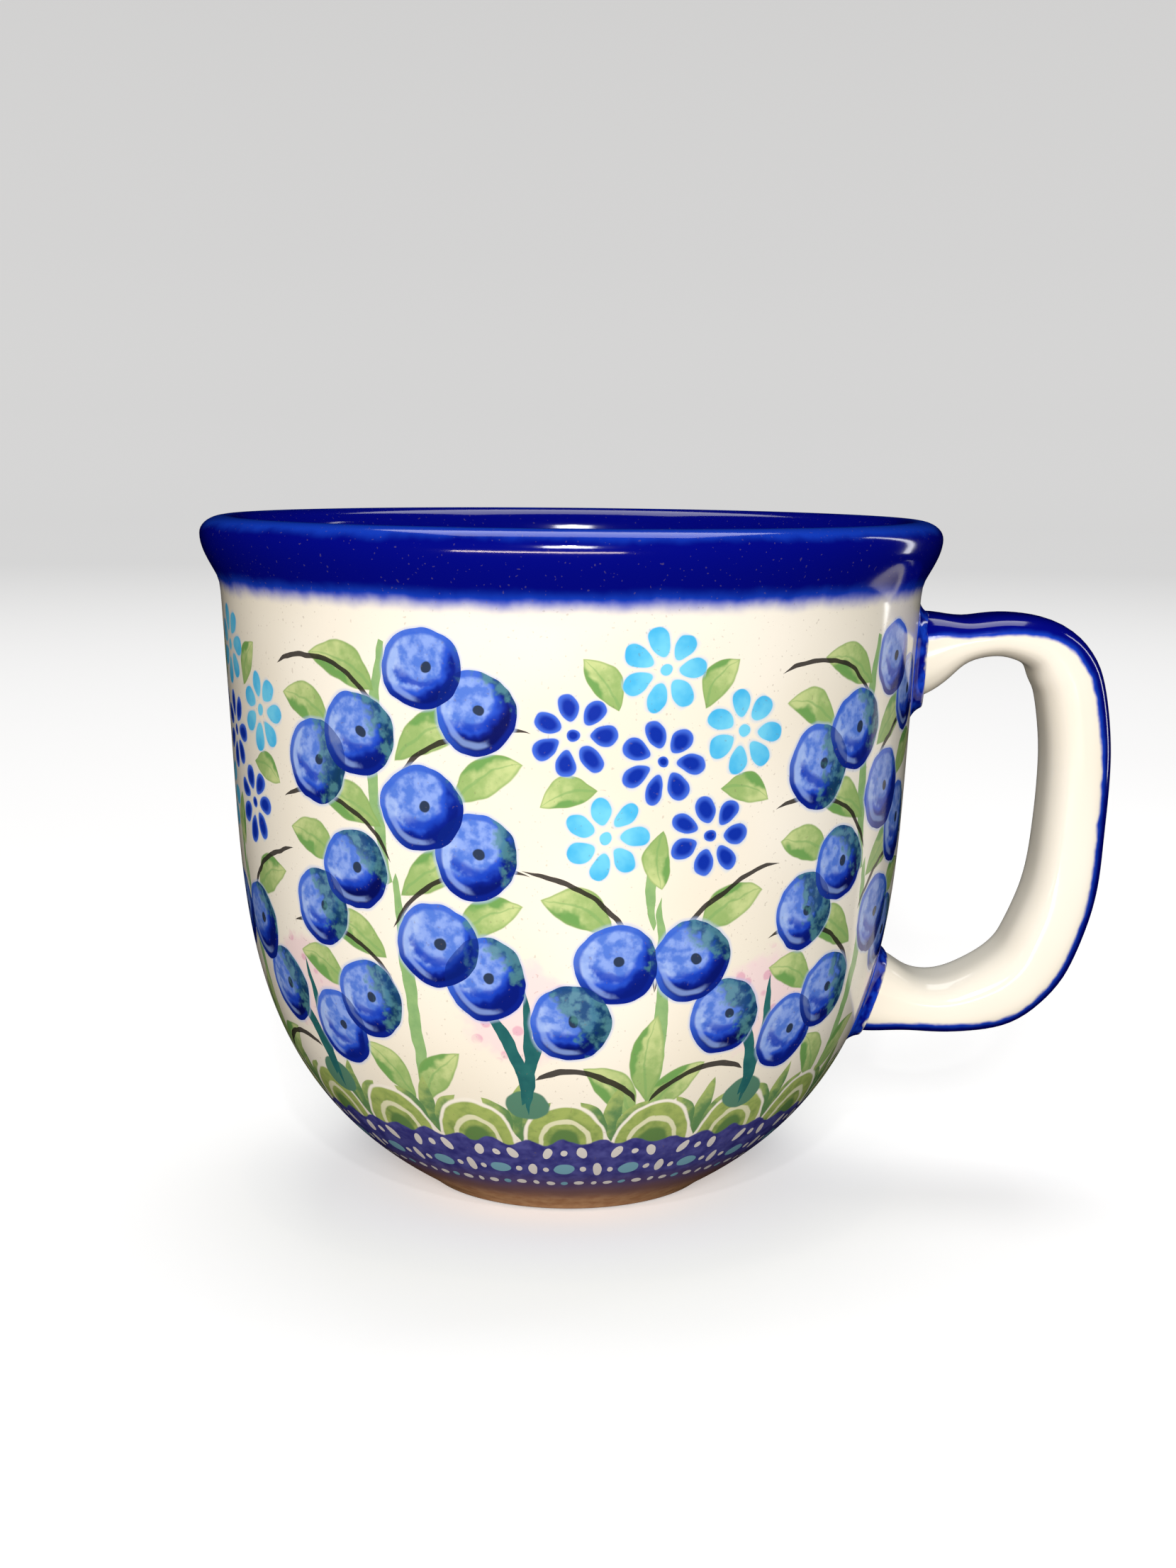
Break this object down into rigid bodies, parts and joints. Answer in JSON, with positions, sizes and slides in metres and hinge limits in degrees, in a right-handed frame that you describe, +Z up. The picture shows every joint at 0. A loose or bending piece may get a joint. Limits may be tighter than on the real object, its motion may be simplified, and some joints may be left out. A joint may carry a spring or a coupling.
{
  "type": "stoneware mug",
  "caption": "Round-bellied glazed stoneware mug with a rolled cobalt lip, a strap handle and a hand-painted folk pattern of berries, leaves and flowers.",
  "frame": {"origin": "under the middle of the bounding box, on the plane that the foot ring stands on; the body's own axis is 12.2 mm towards -X from it", "axes": "+Z up through the mouth, +X towards the handle"},
  "size_m": [0.1264, 0.102, 0.093],
  "materials": {
    "glazed_body": "gloss",
    "glazed_handle": "gloss",
    "cobalt_slip": "gloss"
  },
  "bodies": {
    "root": {"body": "glazed_body", "handle": "glazed_handle", "upper_slip_joint": "cobalt_slip", "lower_slip_joint": "cobalt_slip"}
  },
  "joints": []
}
